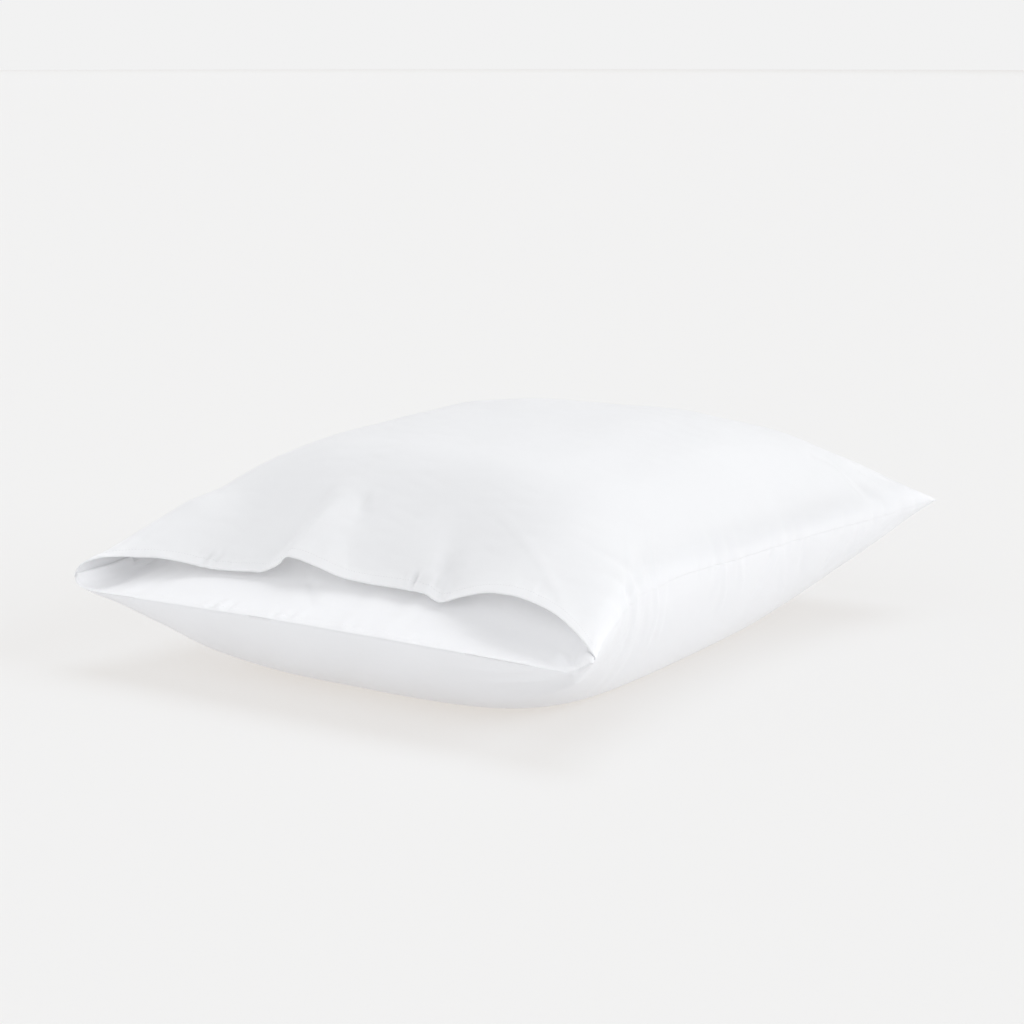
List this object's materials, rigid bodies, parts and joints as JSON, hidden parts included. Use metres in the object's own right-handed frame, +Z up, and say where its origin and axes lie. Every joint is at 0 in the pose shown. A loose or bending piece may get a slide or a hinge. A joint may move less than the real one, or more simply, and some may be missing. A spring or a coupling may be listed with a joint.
{
  "type": "filled pillowcase",
  "caption": "Plain cotton pillowcase filled to shape and lying flat, with a free hem standing open over an inner flap at its mouth.",
  "frame": {"origin": "on the surface it lies on, under the middle of the whole case", "axes": "+X from the open mouth to the closed end, +Y from the near side seam to the far one, +Z up"},
  "size_m": [0.5706, 0.4856, 0.1867],
  "materials": {
    "back_cotton": "matt plain-woven cotton",
    "front_cotton": "matt plain-woven cotton"
  },
  "bodies": {
    "root": {"back_panel": "back_cotton", "front_panel": "front_cotton"}
  },
  "joints": []
}
